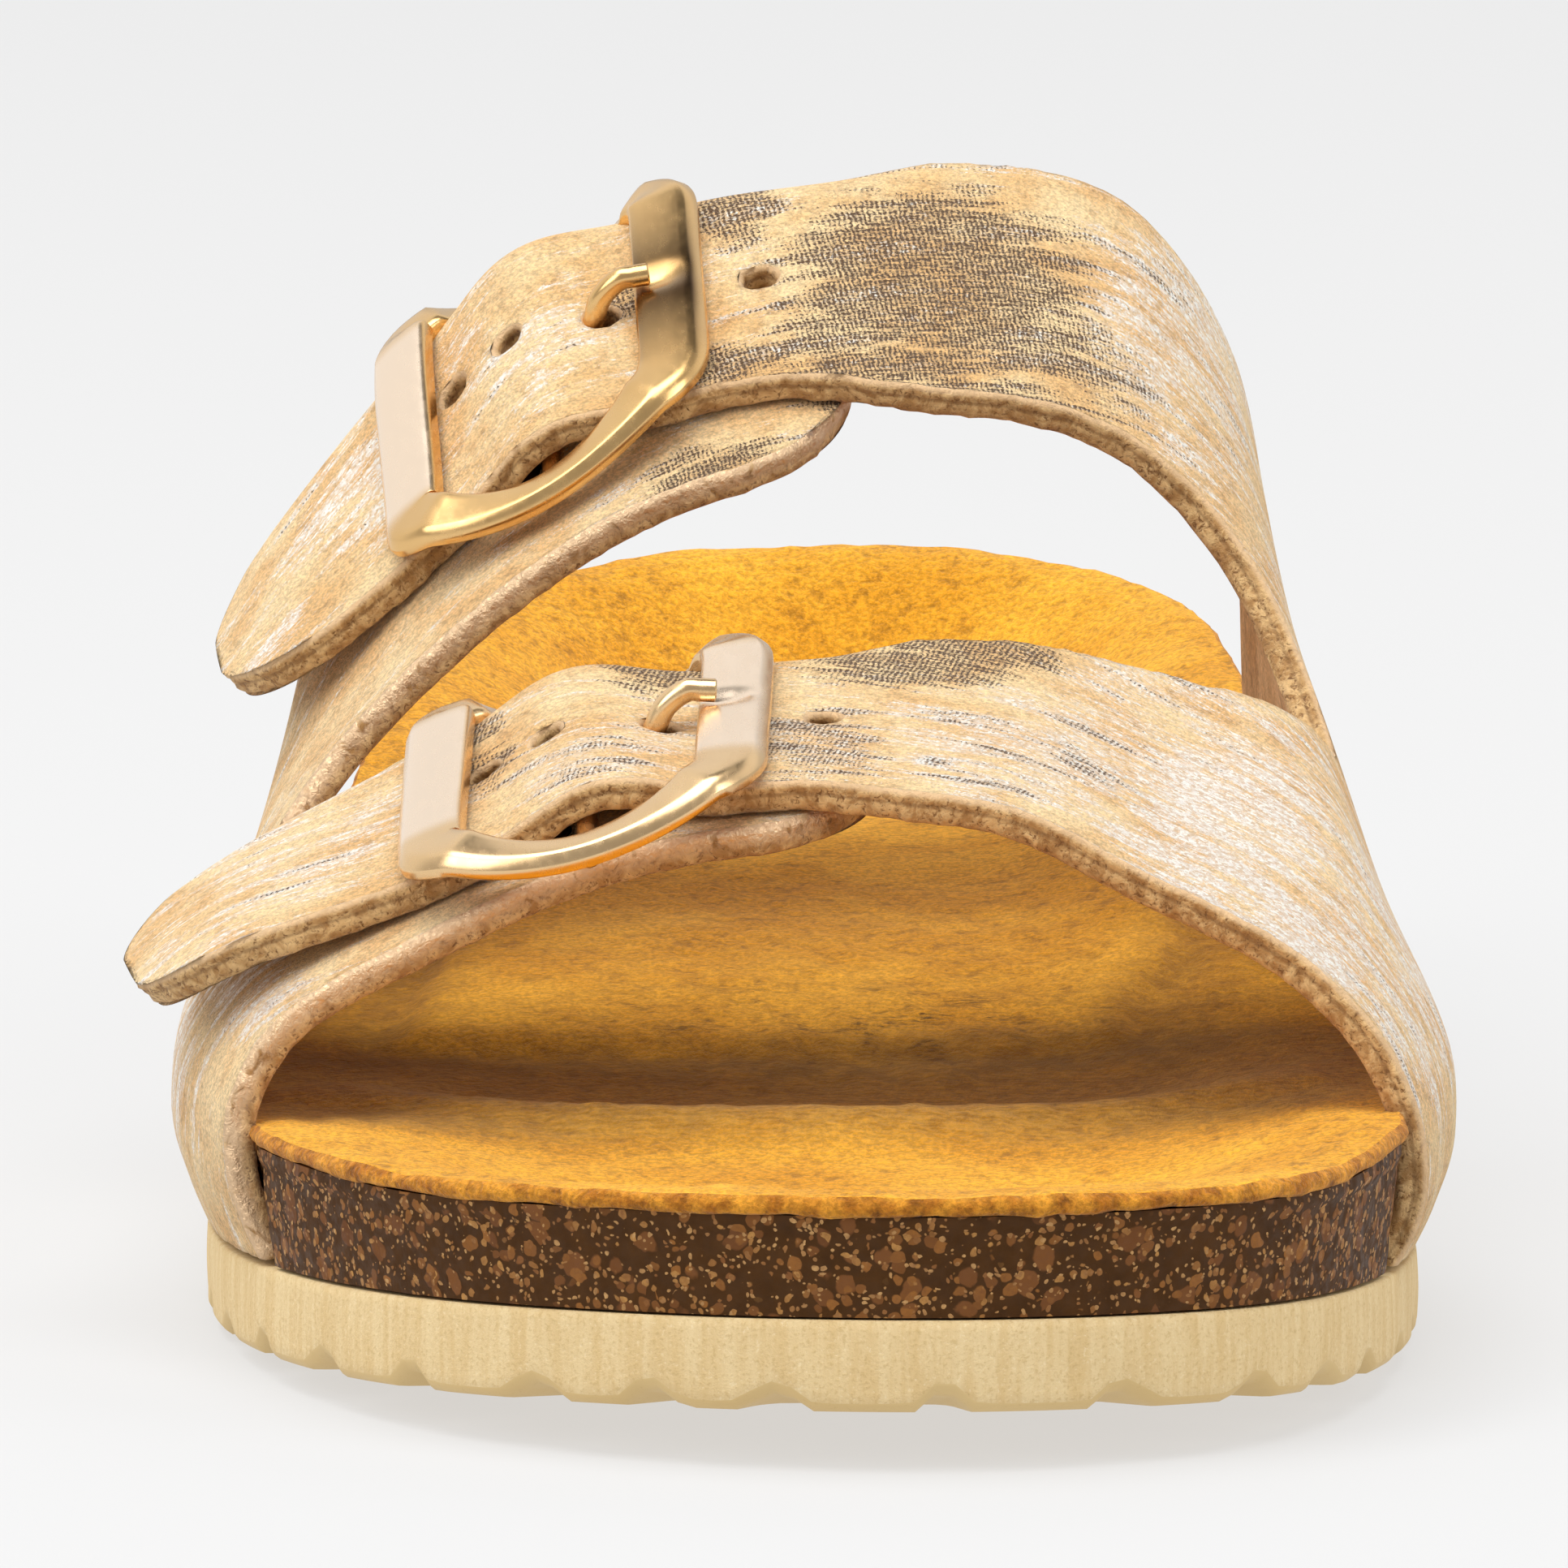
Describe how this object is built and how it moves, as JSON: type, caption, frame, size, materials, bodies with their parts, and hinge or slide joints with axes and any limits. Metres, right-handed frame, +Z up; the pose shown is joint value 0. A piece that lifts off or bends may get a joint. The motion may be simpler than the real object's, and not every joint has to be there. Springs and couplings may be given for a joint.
{
  "type": "sandal",
  "caption": "Open two-strap sandal with a contoured cork footbed, a suede liner, a lugged foam sole and buckled straps.",
  "frame": {"origin": "on the ground, under the middle of the sandal's box", "axes": "+Z up, +Y from the toe to the heel, +X to the inner side of the right foot"},
  "size_m": [0.1078, 0.2538, 0.0855],
  "materials": {
    "foam_sole": "matte",
    "cork": "satin",
    "suede_liner": "matte",
    "foil_suede": "satin",
    "gold_metal": "polished",
    "dark_rivet": "satin"
  },
  "bodies": {
    "root": {"outsole": "foam_sole", "footbed": "cork", "insole": "suede_liner", "upper_medial": "foil_suede", "upper_lateral": "foil_suede", "buckle_front": "gold_metal", "buckle_rear": "gold_metal", "prong_front": "gold_metal", "prong_rear": "gold_metal", "clip_front": "dark_rivet", "clip_rear": "dark_rivet"}
  },
  "joints": []
}
